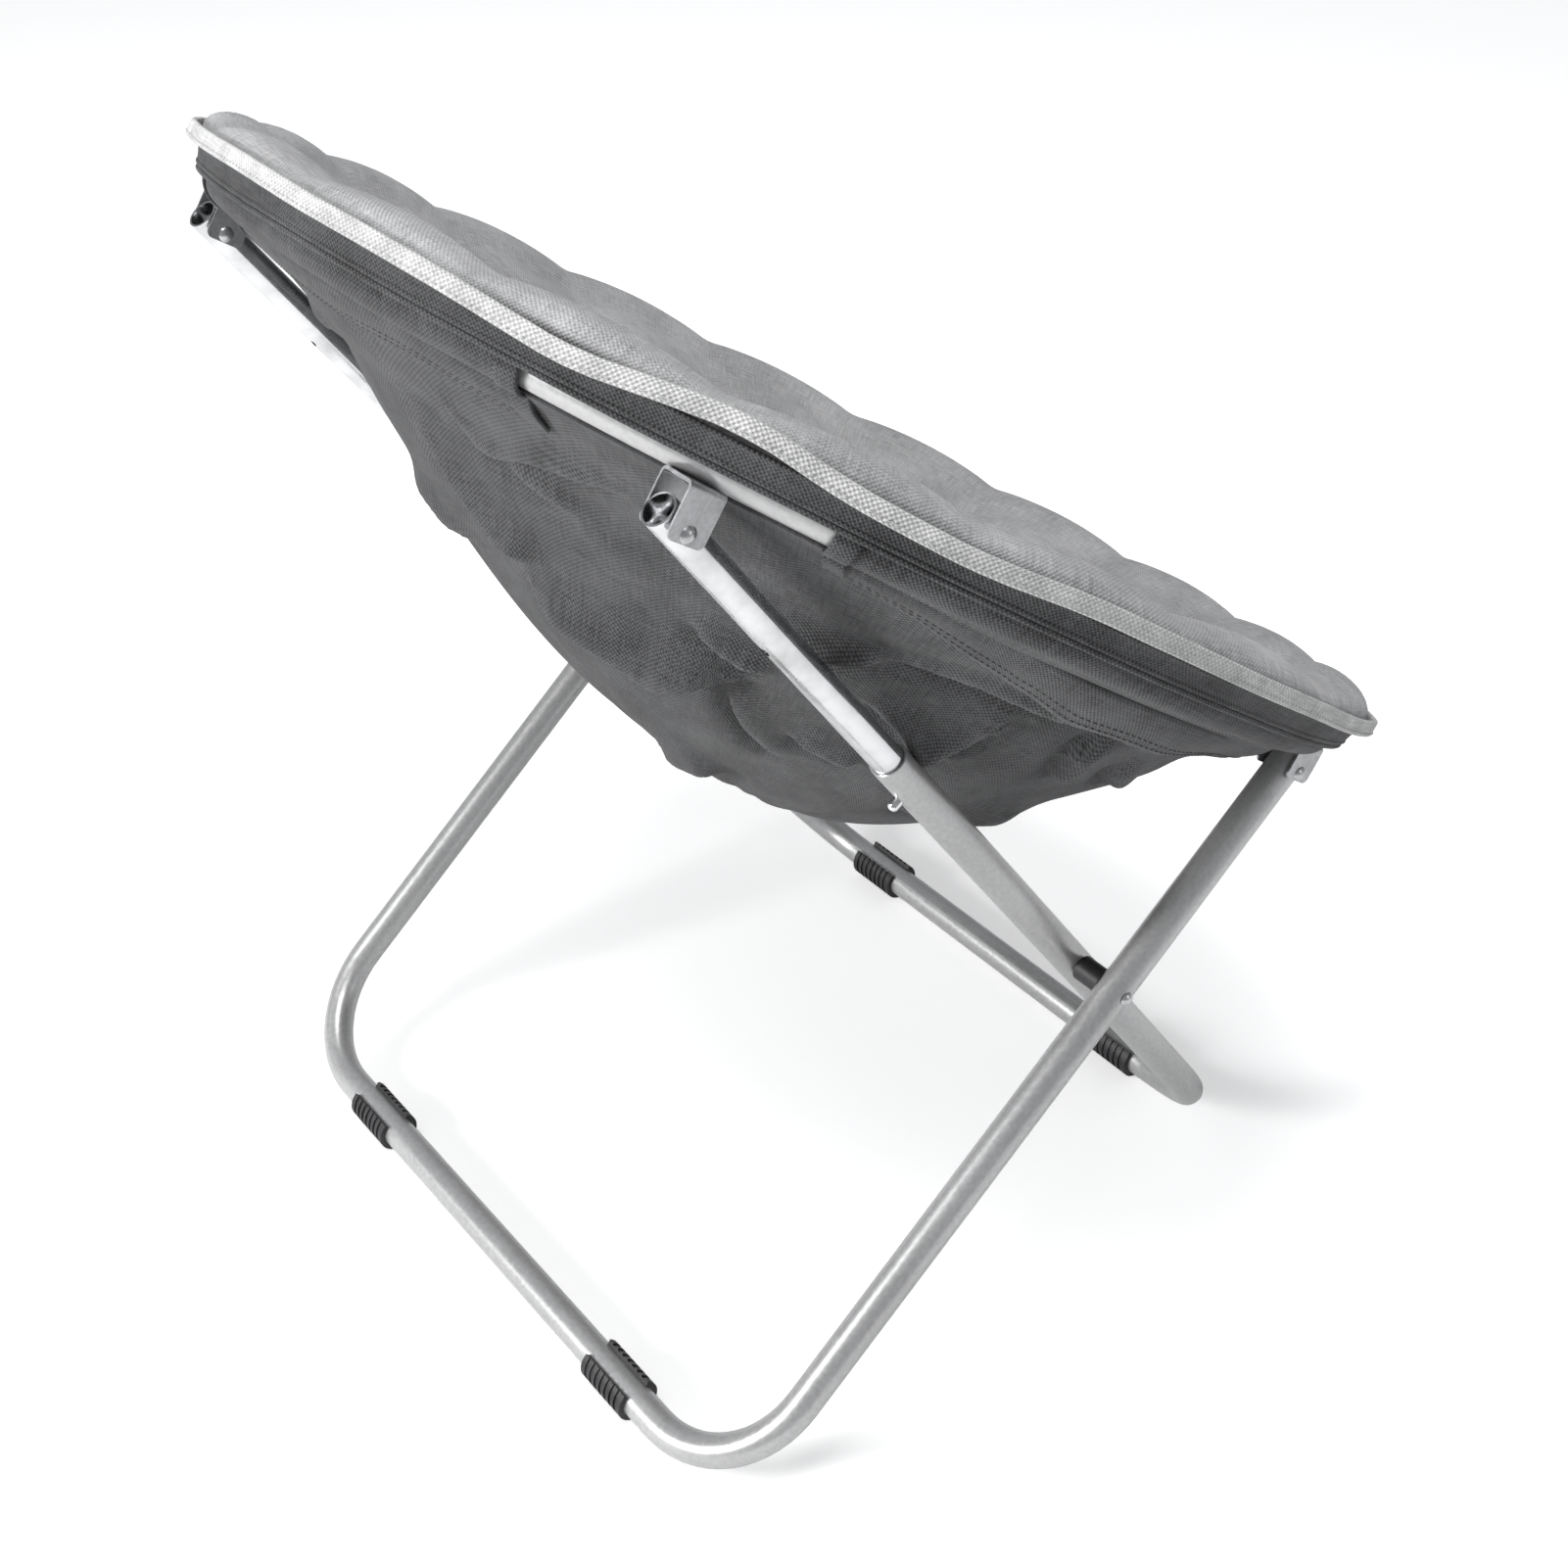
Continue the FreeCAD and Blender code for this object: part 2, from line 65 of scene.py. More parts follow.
def makeCamera():
    azimuth = math.radians(cameraSettings["azimuth"])
    elevation = math.radians(cameraSettings["elevation"])
    roll = math.radians(cameraSettings["roll"])
    level = math.cos(elevation)
    back = Vector((math.sin(azimuth) * level, -math.cos(azimuth) * level, math.sin(elevation)))
    right = Vector((math.cos(azimuth), math.sin(azimuth), 0))
    up = back.cross(right)
    side = right * math.cos(roll) + up * math.sin(roll)
    top = up * math.cos(roll) - right * math.sin(roll)
    data = bpy.data.cameras.new("camera")
    data.lens = cameraSettings["lens"]
    data.sensor_fit = "HORIZONTAL"
    data.sensor_width = cameraSettings["sensor"]
    data.clip_end = cameraSettings["farthest"]
    camera = bpy.data.objects.new("camera", data)
    turn = Matrix((side, top, back)).transposed().to_4x4()
    camera.matrix_world = Matrix.Translation(cameraSettings["place"]) @ turn
    bpy.context.collection.objects.link(camera)
    bpy.context.scene.camera = camera
    print("camera made")


makeCamera()

# light
lampSettings = {
    "lamp_top": {"place": (-0.2, 0.5, 3.4), "aim": (0, 0, 0.4), "size": 1.6, "power": 66},
    "lamp_left": {"place": (0.9, 3.2, 1.6), "aim": (0, 0, 0.5), "size": 1.1, "power": 98},
    "lamp_front": {"place": (-3.0, -1.2, 1.4), "aim": (0, 0, 0.4), "size": 1.4, "power": 8},
}
skySettings = {"color": (0.95, 0.97, 1, 1), "strength": 0.30}


def makeLamp(name, wanted):
    data = bpy.data.lights.new(name, "AREA")
    data.shape = "SQUARE"
    data.size = wanted["size"]
    data.energy = wanted["power"]
    lamp = bpy.data.objects.new(name, data)
    place = Vector(wanted["place"])
    turn = (Vector(wanted["aim"]) - place).to_track_quat("-Z", "Y")
    lamp.matrix_world = Matrix.Translation(place) @ turn.to_matrix().to_4x4()
    bpy.context.collection.objects.link(lamp)


def makeSky():
    # The camera sees plain white behind the chair, and the sky that lights it is softer
    world = bpy.data.worlds.new("studio")
    world.use_nodes = True
    nodes = world.node_tree.nodes
    links = world.node_tree.links
    nodes.clear()
    out = nodes.new("ShaderNodeOutputWorld")
    mix = nodes.new("ShaderNodeMixShader")
    soft = nodes.new("ShaderNodeBackground")
    white = nodes.new("ShaderNodeBackground")
    path = nodes.new("ShaderNodeLightPath")
    soft.inputs["Color"].default_value = skySettings["color"]
    soft.inputs["Strength"].default_value = skySettings["strength"]
    white.inputs["Color"].default_value = (1, 1, 1, 1)
    white.inputs["Strength"].default_value = 1
    links.new(path.outputs["Is Camera Ray"], mix.inputs[0])
    links.new(soft.outputs[0], mix.inputs[1])
    links.new(white.outputs[0], mix.inputs[2])
    links.new(mix.outputs[0], out.inputs[0])
    bpy.context.scene.world = world


for lampName, lampWanted in lampSettings.items():
    makeLamp(lampName, lampWanted)
makeSky()
bpy.context.scene.view_settings.view_transform = "Standard"
bpy.context.scene.view_settings.look = "None"
print("light made")


# materials
def newMaterial(name, color, roughness, metallic=0.0):
    material = bpy.data.materials.new(name)
    material.use_nodes = True
    tree = material.node_tree
    shader = tree.nodes["Principled BSDF"]
    shader.inputs["Base Color"].default_value = (*color, 1)
    shader.inputs["Roughness"].default_value = roughness
    shader.inputs["Metallic"].default_value = metallic
    return material, tree, shader


def objectPlaces(tree):
    return tree.nodes.new("ShaderNodeTexCoord").outputs["Object"]


def stretched(tree, places, scale):
    mapping = tree.nodes.new("ShaderNodeMapping")
    mapping.inputs["Scale"].default_value = scale
    tree.links.new(places, mapping.inputs["Vector"])
    return mapping.outputs["Vector"]


def addNoise(tree, places, scale, detail):
    noise = tree.nodes.new("ShaderNodeTexNoise")
    noise.inputs["Scale"].default_value = scale
    noise.inputs["Detail"].default_value = detail
    tree.links.new(places, noise.inputs["Vector"])
    return noise.outputs["Fac"]


def reckon(tree, kind, *values):
    # One Math node, whose inputs are numbers or other nodes' outputs
    node = tree.nodes.new("ShaderNodeMath")
    node.operation = kind
    for slot, value in zip(node.inputs, values):
        if isinstance(value, (int, float)):
            slot.default_value = value
        else:
            tree.links.new(value, slot)
    return node.outputs[0]


def addColor(tree, shader, source, low, high, lowColor, highColor):
    ramp = tree.nodes.new("ShaderNodeValToRGB")
    for element, place, color in zip(ramp.color_ramp.elements, (low, high), (lowColor, highColor)):
        element.position = place
        element.color = (*color, 1)
    tree.links.new(source, ramp.inputs["Fac"])
    tree.links.new(ramp.outputs["Color"], shader.inputs["Base Color"])


def addRoughness(tree, shader, source, spread, least):
    rough = reckon(tree, "MULTIPLY_ADD", source, spread, least)
    tree.links.new(rough, shader.inputs["Roughness"])


def addBump(tree, shader, source, distance, strength=1.0):
    bump = tree.nodes.new("ShaderNodeBump")
    bump.inputs["Distance"].default_value = distance
    bump.inputs["Strength"].default_value = strength
    tree.links.new(source, bump.inputs["Height"])
    tree.links.new(bump.outputs["Normal"], shader.inputs["Normal"])


# Metals: "wide" and "fine" are the scales of their mottling, "vary" and "roughVary" how far it goes
silverPaint = {
    "color": (0.53, 0.53, 0.53), "rough": 0.34, "metal": 0.62,
    "wide": 7, "fine": 340, "vary": 0.10, "roughVary": 0.16, "bump": 0.00005,
}
rivetSteel = {
    "color": (0.56, 0.56, 0.57), "rough": 0.3, "metal": 0.95,
    "wide": 40, "fine": 500, "vary": 0.14, "roughVary": 0.2, "bump": 0.00004,
}
bracketSteel = {
    "color": (0.46, 0.465, 0.475), "rough": 0.34, "metal": 0.85,
    "wide": 60, "fine": 420, "vary": 0.16, "roughVary": 0.2, "bump": 0.00006,
}
springSteel = {
    "color": (0.5, 0.5, 0.5), "rough": 0.3, "metal": 1.0,
    "wide": 90, "fine": 600, "vary": 0.1, "roughVary": 0.1, "bump": 0.00003,
}


def mottledMetal(name, metal):
    material, tree, shader = newMaterial(name, metal["color"], metal["rough"], metal["metal"])
    places = objectPlaces(tree)
    wide = addNoise(tree, places, metal["wide"], 4)
    fine = addNoise(tree, places, metal["fine"], 8)
    dull = tuple(v * (1 - metal["vary"]) for v in metal["color"])
    clean = tuple(min(1, v * (1 + metal["vary"])) for v in metal["color"])
    both = reckon(tree, "MULTIPLY", reckon(tree, "ADD", wide, fine), 0.5)
    addColor(tree, shader, both, 0.38, 0.62, dull, clean)
    addRoughness(tree, shader, fine, metal["roughVary"], metal["rough"] - metal["roughVary"] / 2)
    addBump(tree, shader, fine, metal["bump"])
    return material


strutChrome = {
    "color": (0.78, 0.79, 0.80), "rough": 0.12, "scratches": (900, 60, 60), "patches": 38,
    "dull": (0.62, 0.62, 0.62), "clean": (0.86, 0.87, 0.88),
    "roughVary": 0.22, "roughLeast": 0.04, "bump": 0.00004,
}


def scratchedChrome(name, chrome):
    material, tree, shader = newMaterial(name, chrome["color"], chrome["rough"], 1.0)
    places = objectPlaces(tree)
    scratches = addNoise(tree, stretched(tree, places, chrome["scratches"]), 1.0, 6)
    patches = addNoise(tree, places, chrome["patches"], 5)
    addColor(tree, shader, patches, 0.35, 0.6, chrome["dull"], chrome["clean"])
    addRoughness(tree, shader, scratches, chrome["roughVary"], chrome["roughLeast"])
    addBump(tree, shader, scratches, chrome["bump"])
    return material


blackPlastic = {
    "color": (0.012, 0.012, 0.013), "rough": 0.5, "grain": 900, "dust": 45,
    "dustGain": 2.1, "dustLift": 0.01, "roughVary": 0.25, "roughLeast": 0.36, "bump": 0.00012,
}


def mouldedPlastic(name, plastic):
    material, tree, shader = newMaterial(name, plastic["color"], plastic["rough"])
    places = objectPlaces(tree)
    grain = addNoise(tree, places, plastic["grain"], 4)
    dust = addNoise(tree, places, plastic["dust"], 6)
    dusty = tuple(v * plastic["dustGain"] + plastic["dustLift"] for v in plastic["color"])
    addColor(tree, shader, dust, 0.35, 0.72, plastic["color"], dusty)
    addRoughness(tree, shader, dust, plastic["roughVary"], plastic["roughLeast"])
    addBump(tree, shader, grain, plastic["bump"])
    return material


# Cloths: "pitch" is the length of one weave, "weave" how much it shows, "mottle" the patches' scale
darkOxford = {
    "dark": (0.030, 0.030, 0.031), "light": (0.125, 0.126, 0.129),
    "pitch": 0.0026, "weave": 0.13, "mottle": 22, "sheen": 0.12, "bump": 0.00025,
}
lightOxford = {
    "dark": (0.24, 0.24, 0.243), "light": (0.56, 0.56, 0.565),
    "pitch": 0.0026, "weave": 0.07, "mottle": 18, "sheen": 0.2, "bump": 0.00025,
}
paleTape = {
    "dark": (0.36, 0.36, 0.36), "light": (0.74, 0.74, 0.73),
    "pitch": 0.0030, "weave": 0.10, "mottle": 60, "sheen": 0.15, "bump": 0.0004,
}
darkThread = {
    "dark": (0.028, 0.028, 0.030), "light": (0.075, 0.076, 0.080),
    "pitch": 0.0006, "weave": 0.05, "mottle": 300, "sheen": 0.3, "bump": 0.0001,
}
paleThread = {
    "dark": (0.34, 0.34, 0.34), "light": (0.55, 0.55, 0.55),
    "pitch": 0.0006, "weave": 0.05, "mottle": 300, "sheen": 0.3, "bump": 0.0001,
}
allCloth = {
    "rough": 0.86, "sheenRough": 0.45, "specular": 0.25, "slubLong": 60, "slubThin": 900,
    "slubShare": 0.34, "mottleShare": 0.32, "toneHeight": 2.0, "bumpStrength": 0.7,
    "roughVary": 0.14, "roughLeast": 0.78,
}


def wovenCloth(name, cloth):
    # Warp and weft threads cross on the piece's own metre-scaled UV map
    material, tree, shader = newMaterial(name, cloth["light"], allCloth["rough"])
    shader.inputs["Sheen Weight"].default_value = cloth["sheen"]
    shader.inputs["Sheen Roughness"].default_value = allCloth["sheenRough"]
    shader.inputs["Specular IOR Level"].default_value = allCloth["specular"]
    uv = tree.nodes.new("ShaderNodeUVMap")
    uv.uv_map = "cloth"
    split = tree.nodes.new("ShaderNodeSeparateXYZ")
    tree.links.new(uv.outputs[0], split.inputs[0])
    waves = []
    for axis in ("X", "Y"):
        run = reckon(tree, "MULTIPLY", split.outputs[axis], 2 * math.pi / cloth["pitch"])
        waves.append(reckon(tree, "SINE", run))
    weave = reckon(tree, "MULTIPLY", waves[0], waves[1])
    mottle = addNoise(tree, objectPlaces(tree), cloth["mottle"], 6)
    slubLong, slubThin = allCloth["slubLong"], allCloth["slubThin"]
    slubs = []
    for scale in ((slubLong, slubThin, 1), (slubThin, slubLong, 1)):
        slubs.append(addNoise(tree, stretched(tree, uv.outputs[0], scale), 1.0, 3))
    tone = reckon(tree, "MULTIPLY", reckon(tree, "ADD", slubs[0], slubs[1]), allCloth["slubShare"])
    tone = reckon(tree, "ADD", tone, reckon(tree, "MULTIPLY", mottle, allCloth["mottleShare"]))
    tone = reckon(tree, "ADD", tone, reckon(tree, "MULTIPLY", weave, cloth["weave"]))
    addColor(tree, shader, tone, 0.36, 0.64, cloth["dark"], cloth["light"])
    height = reckon(tree, "ADD", weave, reckon(tree, "MULTIPLY", tone, allCloth["toneHeight"]))
    addBump(tree, shader, height, cloth["bump"], allCloth["bumpStrength"])
    addRoughness(tree, shader, mottle, allCloth["roughVary"], allCloth["roughLeast"])
    return material


finish = {
    "silver": mottledMetal("silver_paint_look", silverPaint),
    "rivet": mottledMetal("rivet_look", rivetSteel),
    "bracket": mottledMetal("bracket_look", bracketSteel),
    "spring": mottledMetal("spring_look", springSteel),
    "chrome": scratchedChrome("chrome_look", strutChrome),
    "plastic": mouldedPlastic("black_plastic_look", blackPlastic),
    "dark": wovenCloth("dark_oxford_look", darkOxford),
    "pad": wovenCloth("light_oxford_look", lightOxford),
    "tape": wovenCloth("pale_tape_look", paleTape),
    "thread": wovenCloth("thread_look", darkThread),
    "pale_thread": wovenCloth("pale_thread_look", paleThread),
}
frameFinish = {"seat_ring": "silver", "front_leg_frame": "silver", "rear_leg_frame": "silver"}
pairFinish = {
    "front_bracket": "bracket", "rear_bracket": "bracket",
    "front_rivet": "rivet", "rear_rivet": "rivet", "crossing_rivet": "rivet",
    "crossing_spacer": "plastic", "rear_foot_clip": "plastic", "front_foot_clip": "plastic",
    "strut": "chrome", "snap_button": "chrome", "button_spring": "spring",
}
for pairName, pairKind in pairFinish.items():
    for word in ("left", "right"):
        frameFinish[pairName + "_" + word] = pairKind
for nodeName, nodeKind in frameFinish.items():
    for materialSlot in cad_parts[nodeName].material_slots:
        materialSlot.material = finish[nodeKind]
print("materials made")

# floor
floorSettings = {"half": 4.5, "color": (0.95, 0.95, 0.95), "rough": 0.95, "glow": 0.42}


def makeFloor():
    # It glows only to the camera, so that it looks white and still keeps the chair's shadow
    work = bmesh.new()
    bmesh.ops.create_grid(work, x_segments=1, y_segments=1, size=floorSettings["half"])
    mesh = bpy.data.meshes.new("floor")
    work.to_mesh(mesh)
    work.free()
    floor = bpy.data.objects.new("floor", mesh)
    bpy.context.collection.objects.link(floor)
    material, tree, shader = newMaterial("floor_look", floorSettings["color"], floorSettings["rough"])
    shader.inputs["Emission Color"].default_value = (1, 1, 1, 1)
    seen = tree.nodes.new("ShaderNodeLightPath").outputs["Is Camera Ray"]
    glow = reckon(tree, "MULTIPLY", seen, floorSettings["glow"])
    tree.links.new(glow, shader.inputs["Emission Strength"])
    mesh.materials.append(material)
    print("floor made")


makeFloor()

# the ring's plane: angles run round the ring from its back, and heights stand on its plane
ringTube = 0.011
ringTilt = math.radians(37.7)
ringLow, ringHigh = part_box("seat_ring")
ringCentre = (Vector(ringLow) + Vector(ringHigh)) / 2
ringRadius = (ringHigh.x - ringLow.x) / 2 - ringTube
ringMatrix = Matrix.Translation(ringCentre) @ Matrix.Rotation(ringTilt, 4, "X")
ringInverse = ringMatrix.inverted()


def turned(directions):
    return directions @ np.array(ringMatrix.to_3x3()).T


def toWorld(points):
    return turned(points) + np.array(ringCentre)


def aroundRing(angle, radius, height, centre=0.0):
    turn = np.radians(angle)
    places = np.broadcast_arrays(radius * np.sin(turn), centre + radius * np.cos(turn), height)
    return np.stack(places, axis=-1)


def wave(angle, seed, parts, size):
    # A soft irregular line around the ring that repeats after a full turn
    rng = np.random.default_rng(seed)
    total = np.zeros_like(angle, dtype=float)
    for turns in parts:
        total = total + rng.uniform(0.4, 1.0) * np.sin(np.radians(angle) * turns + rng.uniform(0, 6.28))
    return size * total / len(parts)


def between(table, angle):
    # What a list of (angle, value) gives at any angle around the ring
    spots = np.array(table, float)
    return np.interp((np.asarray(angle) + 180) % 360 - 180, spots[:, 0], spots[:, 1])


def lengthAlong(line):
    return np.concatenate([[0], np.cumsum(np.linalg.norm(np.diff(line, axis=0), axis=1))])


def smoothLine(points, count, steps=14):
    # A rounded line through a few points, spread evenly over its length
    p = np.array(points, float)
    ends = np.vstack([2 * p[0] - p[1], p, 2 * p[-1] - p[-2]])
    t = np.linspace(0, 1, steps, endpoint=False)[:, None]
    rows = []
    for a, b, c, d in zip(ends, ends[1:], ends[2:], ends[3:]):
        square = (2 * a - 5 * b + 4 * c - d) * t ** 2
        cube = (3 * b - a - 3 * c + d) * t ** 3
        rows.append(0.5 * (2 * b + (c - a) * t + square + cube))
    line = np.vstack(rows + [p[-1:]])
    run = lengthAlong(line)
    spread = np.linspace(0, run[-1], count)
    return np.stack([np.interp(spread, run, line[:, k]) for k in range(line.shape[1])], axis=1)


def withPole(grid, atStart):
    # One edge of the cloth runs together in a point
    edge = grid[:, 0] if atStart else grid[:, -1]
    pole = np.broadcast_to(edge.mean(axis=0), (len(grid), 1, 3))
    return np.concatenate([pole, grid] if atStart else [grid, pole], axis=1)


def makeGrid(name, grid, closedAcross=False, closedAlong=False, capStart=False, capEnd=False, hold=None):
    # A sheet that is bent into place: grid[i, j] runs around the ring in i and across the cloth in j
    if hold is None:
        hold = np.ones(grid.shape[:2])
    if closedAlong:
        grid = np.concatenate([grid, grid[:1]])
        hold = np.concatenate([hold, hold[:1]])
    if closedAcross:
        grid = np.concatenate([grid, grid[:, :1]], axis=1)
        hold = np.concatenate([hold, hold[:, :1]], axis=1)
    if capStart:
        grid = withPole(grid, True)
        hold = np.concatenate([hold[:, :1], hold], axis=1)
    if capEnd:
        grid = withPole(grid, False)
        hold = np.concatenate([hold, hold[:, -1:]], axis=1)
    rows, cols = grid.shape[:2]
    across = np.concatenate([[0], np.cumsum(np.linalg.norm(np.diff(grid, axis=1), axis=2).mean(axis=0))])
    along = lengthAlong(grid[:, cols // 2])
    work = bmesh.new()
    work.loops.layers.uv.new("cloth")
    bmesh.ops.create_grid(work, x_segments=cols - 1, y_segments=rows - 1, size=1)
    work.verts.ensure_lookup_table()
    kept = work.verts.layers.float.new("hold")
    layer = work.loops.layers.uv["cloth"]
    for vert in work.verts:
        i = vert.index // cols
        j = vert.index % cols
        vert.co = grid[i, j]
        vert[kept] = float(hold[i, j])
        for corner in vert.link_loops:
            corner[layer].uv = (along[i], across[j])
    if closedAlong or closedAcross or capStart or capEnd:
        bmesh.ops.remove_doubles(work, verts=work.verts, dist=0.000001)
    bmesh.ops.recalc_face_normals(work, faces=work.faces)
    mesh = bpy.data.meshes.new(name)
    work.to_mesh(mesh)
    work.free()
    mesh.shade_smooth()
    piece = bpy.data.objects.new(name, mesh)
    bpy.context.collection.objects.link(piece)
    return piece


def sweep(name, section, around, radius, height):
    # A closed section carried round the ring
    shape = np.array(section)
    wide = radius[:, None] + shape[None, :, 0]
    tall = height[:, None] + shape[None, :, 1]
    grid = aroundRing(around[:, None], wide, tall)
    return makeGrid(name, toWorld(grid), closedAcross=True, closedAlong=True)


def settle(piece):
    # The modifiers' result becomes the piece's own mesh
    graph = bpy.context.evaluated_depsgraph_get()
    mesh = bpy.data.meshes.new_from_object(piece.evaluated_get(graph))
    piece.modifiers.clear()
    piece.data = mesh


def thicken(piece, thickness, offset):
    solid = piece.modifiers.new("cloth_thickness", "SOLIDIFY")
    solid.thickness = thickness
    solid.offset = offset
    solid.use_even_offset = False
    settle(piece)


def dress(piece, kind):
    piece.data.materials.clear()
    piece.data.materials.append(finish[kind])
    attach(piece, "seat")


def flattenWithFold(piece):
    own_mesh(piece)


# bowl cloth, in metres
bowlSettings = {
    "rimDrop": 0.010,  # the bowl's rim lies below the ring's plane
    "rimOut": 0.006,  # and outside the tube's middle
    "depth": 0.200,
    "roundness": 1.5,
    "lowest": -0.114,  # the deepest point lies forward of the ring's centre
    "middle": (0, -0.05, 0.05),  # a place inside the bowl
    "rimLevels": (0.985, 0.50, 96),
    "lowerLevels": (0.494, 0.03, 52),
    "around": 420,
    "thickness": 0.0018,
    "ripple": 0.0028,
    "waist": 0.004,  # the cloth draws in under the ring
    "waistLevel": 0.80,
    "waistWide": 0.04,
    "deepest": -0.0115,  # no fold falls further in, towards the cushion
}
foldSettings = {"crease": 5.5, "outGain": 1.35, "inGain": 1.6, "fade": 0.30, "linePoints": 40}

# Each fold: its line as (angle, level), how far the cloth above it stands out, how deep it falls
# below it, and how wide the two sides are, in millimetres
folds = [
    {"out": 7, "in": 7, "wide": 16, "narrow": 8,
     "line": [(-10, 0.80), (-17, 0.80), (-25, 0.835), (-34, 0.865)]},
    {"out": 6, "in": 3, "wide": 13, "narrow": 13,
     "line": [(-5, 0.87), (-11, 0.81), (-16, 0.78), (-26, 0.75)]},
    {"out": 17, "in": 10, "wide": 38, "narrow": 17,
     "line": [(-6, 0.56), (-22, 0.575), (-34, 0.555), (-43, 0.605), (-51, 0.655)]},
    {"out": 8, "in": 5, "wide": 15, "narrow": 10,
     "line": [(-38, 0.695), (-44, 0.67), (-50, 0.655)]},
    {"out": 5, "in": 9, "wide": 18, "narrow": 12,
     "line": [(-42, 0.605), (-46, 0.535), (-51, 0.49), (-56, 0.45)]},
    {"out": 8, "in": 5, "wide": 20, "narrow": 12,
     "line": [(-54, 0.545), (-63, 0.54), (-70, 0.55)]},
    {"out": 9, "in": 5, "wide": 20, "narrow": 12,
     "line": [(4, 0.76), (-3, 0.68), (-9, 0.64), (-18, 0.65)]},
    {"out": 9, "in": 5, "wide": 26, "narrow": 18,
     "line": [(-18, 0.24), (-34, 0.27), (-48, 0.32)]},
    {"out": 7, "in": 4, "wide": 14, "narrow": 10,
     "line": [(-50, 0.72), (-56, 0.75), (-62, 0.78)]},
    {"out": 7, "in": 7, "wide": 12, "narrow": 12,
     "line": [(-55, 0.755), (-65, 0.805), (-76, 0.82), (-90, 0.84), (-104, 0.83)]},
    {"out": 8, "in": 7, "wide": 17, "narrow": 11,
     "line": [(-70, 0.60), (-75, 0.67), (-78, 0.74), (-77, 0.82)]},
    {"out": 8, "in": 6, "wide": 16, "narrow": 10,
     "line": [(-95, 0.68), (-90, 0.76), (-92, 0.83)]},
    {"out": 7, "in": 6, "wide": 15, "narrow": 10,
     "line": [(-113, 0.69), (-104, 0.74), (-100, 0.79)]},
    {"out": 7, "in": 5, "wide": 16, "narrow": 11,
     "line": [(-60, 0.70), (-69, 0.665), (-80, 0.63)]},
    {"out": 9, "in": 6, "wide": 26, "narrow": 16,
     "line": [(-84, 0.45), (-100, 0.48), (-118, 0.55)]},
    {"out": 8, "in": 6, "wide": 17, "narrow": 11,
     "line": [(-128, 0.84), (-138, 0.78), (-150, 0.77)]},
    {"out": 10, "in": 6, "wide": 26, "narrow": 16,
     "line": [(-150, 0.60), (-170, 0.56), (-190, 0.61)]},
    {"out": 7, "in": 5, "wide": 17, "narrow": 11,
     "line": [(-172, 0.86), (-184, 0.80), (-196, 0.83)]},
]

# The far side's folds are alike: the middle of each as (angle, level), and its slope
farFolds = [
    (40, 0.80, 0.02), (62, 0.78, -0.02), (88, 0.80, 0.03), (112, 0.75, -0.03),
    (138, 0.80, 0.02), (20, 0.58, 0.02), (52, 0.56, -0.02), (96, 0.52, 0.02),
]
for farAngle, farLevel, farSlope in farFolds:
    farLine = [
        (farAngle - 12, farLevel - farSlope),
        (farAngle, farLevel + 0.02),
        (farAngle + 13, farLevel + farSlope),
    ]
    folds.append({"out": 8, "in": 6, "wide": 20, "narrow": 12, "line": farLine})


def onBowl(angle, level, inset=0.0):
    # The smooth bowl: level 1 is its rim, level 0 its deepest point
    hollow = (1 - np.clip(level, 0, 1) ** 2) ** bowlSettings["roundness"]
    height = inset - bowlSettings["rimDrop"] - bowlSettings["depth"] * hollow
    radius = level * (ringRadius + bowlSettings["rimOut"] - inset)
    return aroundRing(angle, radius, height, bowlSettings["lowest"] * (1 - level))


def foldShift(angle, level, points):
    shift = np.zeros(angle.shape)
    for fold in folds:
        line = smoothLine(fold["line"], foldSettings["linePoints"])
        spots = onBowl(line[:, 0], line[:, 1])
        gap = np.linalg.norm(points[..., None, :] - spots, axis=-1)
        nearest = gap.argmin(axis=-1)
        away = gap.min(axis=-1) * 1000
        run = np.gradient(line, axis=0)[nearest]
        apart = (angle - line[nearest, 0] + 180) % 360 - 180
        across = run[..., 0] * (level - line[nearest, 1]) - run[..., 1] * apart
        side = np.sign(across) * np.sign(line[-1, 0] - line[0, 0])
        step = 0.5 * (1 + np.tanh(side * away / foldSettings["crease"]))
        upper = foldSettings["outGain"] * fold["out"] * np.exp(-(away / fold["wide"]) ** 2)
        lower = -foldSettings["inGain"] * fold["in"] * np.exp(-(away / fold["narrow"]) ** 2)
        ends = np.minimum(nearest, len(line) - 1 - nearest) / (len(line) - 1)
        fade = np.clip(ends / foldSettings["fade"], 0, 1)
        fade = fade * fade * (3 - 2 * fade)
        shift += (step * upper + (1 - step) * lower) * fade
    return shift / 1000


